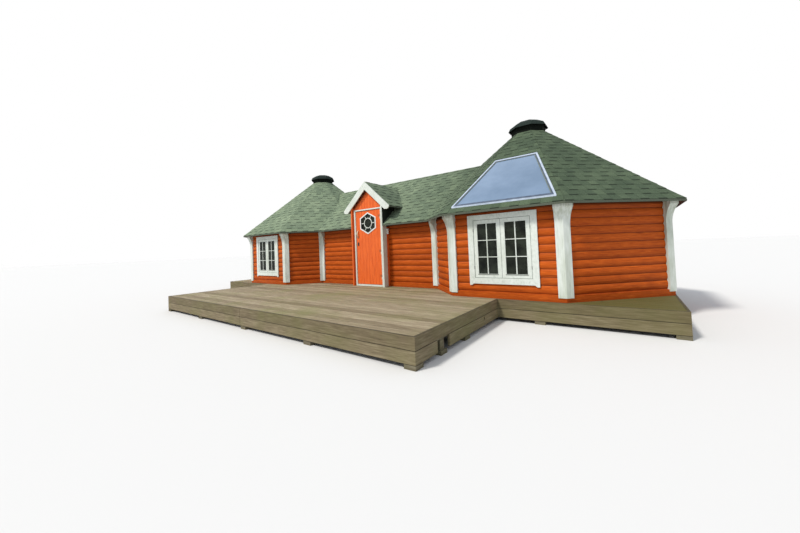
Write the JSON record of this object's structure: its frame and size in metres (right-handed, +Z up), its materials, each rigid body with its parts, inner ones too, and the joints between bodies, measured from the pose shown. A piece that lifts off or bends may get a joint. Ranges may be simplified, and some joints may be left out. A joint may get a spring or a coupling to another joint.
{
  "type": "kota cabin",
  "caption": "Timber kota cabin: two octagonal log huts with pyramid roofs and smoke hats, joined by a gabled link room with a porch door, on raised timber decks",
  "frame": {"origin": "centre of the footprint on the ground, under the middle of the terrace's and eaves' outline", "axes": "+Z up, -Y the front with the door and terrace, +X along the cabin to the hut with the skylight"},
  "size_m": [12.0196, 7.2649, 3.9872],
  "materials": {
    "dark_metal": "satin",
    "deck_wood": "weathered",
    "door_stain": "stained",
    "log_wall": "stained",
    "pale_metal": "satin",
    "roof_shingle": "matt",
    "white_paint": "painted",
    "white_plastic": "satin",
    "window_glass": "clear"
  },
  "bodies": {
    "cabin": {"base_boards": "log_wall", "door_frame": "white_paint", "foundation_posts": "deck_wood", "left_back_walls": "log_wall", "left_corner_posts": "white_paint", "left_end_wall": "log_wall", "left_front_corner_wall": "log_wall", "left_front_wall": "log_wall", "left_inner_front_wall": "log_wall", "left_roof": "roof_shingle", "link_back_wall": "log_wall", "link_front_wall_left": "log_wall", "link_front_wall_right": "log_wall", "link_roof": "roof_shingle", "platform_deck": "deck_wood", "platform_joists": "deck_wood", "platform_skirts": "deck_wood", "porch_bargeboards": "white_paint", "porch_cheeks": "door_stain", "porch_gable": "door_stain", "porch_roof": "roof_shingle", "porch_trim": "white_paint", "right_back_walls": "log_wall", "right_corner_posts": "white_paint", "right_end_wall": "log_wall", "right_front_corner_wall": "log_wall", "right_front_wall": "log_wall", "right_inner_front_wall": "log_wall", "right_roof": "roof_shingle", "skylight_frame": "pale_metal", "skylight_glass": "window_glass", "smoke_collars": "dark_metal", "smoke_hats": "roof_shingle", "terrace_deck": "deck_wood", "terrace_joists": "deck_wood", "terrace_skirts": "deck_wood", "wall_lamp": "white_plastic", "window_frames": "white_paint", "window_glass": "window_glass", "window_sashes": "white_paint"},
    "door": {"door_handle": "pale_metal", "door_hinges": "pale_metal", "door_leaf": "door_stain", "door_lock": "dark_metal", "door_window_frame": "white_paint", "door_window_glass": "window_glass"}
  },
  "joints": [
    {"name": "door_hinge", "type": "hinge", "parent": "cabin", "child": "door", "pos_m": [0.451, -0.4809, 0.396], "axis": [0, 0, 1], "range_deg": [0, 90]}
  ]
}
